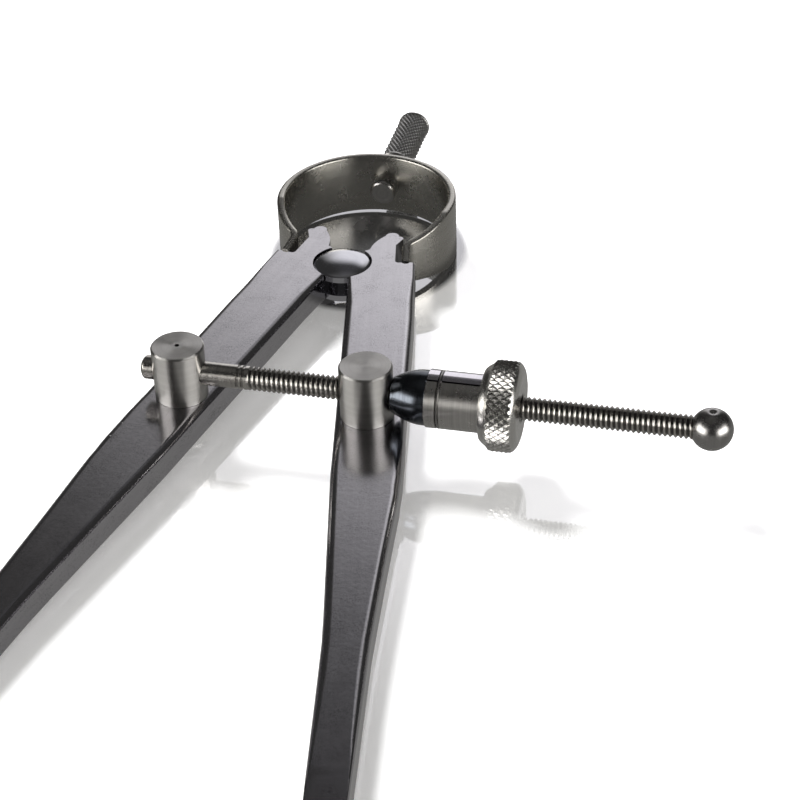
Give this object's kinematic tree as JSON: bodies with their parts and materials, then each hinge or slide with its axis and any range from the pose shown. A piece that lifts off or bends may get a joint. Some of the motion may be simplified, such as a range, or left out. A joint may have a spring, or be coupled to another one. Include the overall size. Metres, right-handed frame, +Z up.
{
  "type": "spring caliper",
  "caption": "Spring caliper with flat legs and outward feet, round bow spring, swivel posts, and an adjusting screw with a split knurled nut and end ball.",
  "frame": {"origin": "on the fulcrum axis, in the plane of the bow spring's lower edge", "axes": "+X along the adjusting screw towards its end ball, -Y towards the feet, +Z up from the bench"},
  "size_m": [0.1102, 0.1967, 0.019],
  "materials": {
    "satin_steel": "turned and brushed satin steel",
    "polished_leg": "flat steel, fine ground and polished, with a dull sheen",
    "bow_steel": "tempered spring strip, smooth satin",
    "bright_steel": "polished stud heads",
    "thread_steel": "cut thread, satin",
    "blued_steel": "blued black, smooth",
    "knurled_steel": "diamond knurl with satin faces"
  },
  "bodies": {
    "bow": {"bow_spring": "bow_steel", "fulcrum_stud": "bright_steel", "finger_grip": "knurled_steel"},
    "left_leg": {"leg_left": "polished_leg"},
    "right_leg": {"leg_right": "polished_leg"},
    "screw_and_left_post": {"post_left": "satin_steel", "post_washer_left": "satin_steel", "adjusting_screw": "thread_steel", "screw_pin": "satin_steel", "screw_ball": "satin_steel"},
    "right_post": {"post_right": "satin_steel", "post_washer_right": "satin_steel"},
    "cup": {"thrust_cup": "blued_steel"},
    "nut": {"half_nut_front": "satin_steel", "half_nut_back": "satin_steel", "nut_ring_spring": "blued_steel", "thumb_wheel": "knurled_steel"}
  },
  "joints": [
    {"name": "left_leg_hinge", "type": "hinge", "parent": "bow", "child": "left_leg", "pos_m": [0, 0, 0.0055], "axis": [0, 0, -1], "range_deg": [-11.02, 16.79], "deforming": ["bow_spring"]},
    {"name": "right_leg_hinge", "type": "hinge", "parent": "bow", "child": "right_leg", "pos_m": [0, 0, 0.0055], "axis": [0, 0, 1], "range_deg": [-11.04, 16.81], "deforming": ["bow_spring"]},
    {"name": "left_post_swivel", "type": "hinge", "parent": "left_leg", "child": "screw_and_left_post", "pos_m": [-0.01435, -0.04096, 0.0055], "axis": [0, 0, 1], "range_deg": [-11.04, 16.81]},
    {"name": "right_post_swivel", "type": "hinge", "parent": "right_leg", "child": "right_post", "pos_m": [0.01435, -0.04096, 0.0055], "axis": [0, 0, -1], "range_deg": [-11.04, 16.81]},
    {"name": "nut_travel", "type": "slide", "parent": "screw_and_left_post", "child": "cup", "axis": [1, 0, 0], "range_m": [-0.01577, 0.02402]},
    {"name": "nut_turn", "type": "hinge", "parent": "cup", "child": "nut", "pos_m": [0.025, -0.04096, 0.0122], "axis": [1, 0, 0], "range_deg": [-7565, 11525]}
  ],
  "couplings": [
    {"joint": "right_leg_hinge", "follows": "left_leg_hinge", "ratio": 1},
    {"joint": "left_post_swivel", "follows": "left_leg_hinge", "ratio": 1},
    {"joint": "right_post_swivel", "follows": "left_leg_hinge", "ratio": 1},
    {"joint": "nut_travel", "follows": "left_leg_hinge", "m_per_rad": 0.081921},
    {"joint": "nut_turn", "follows": "left_leg_hinge", "ratio": 686.3}
  ]
}
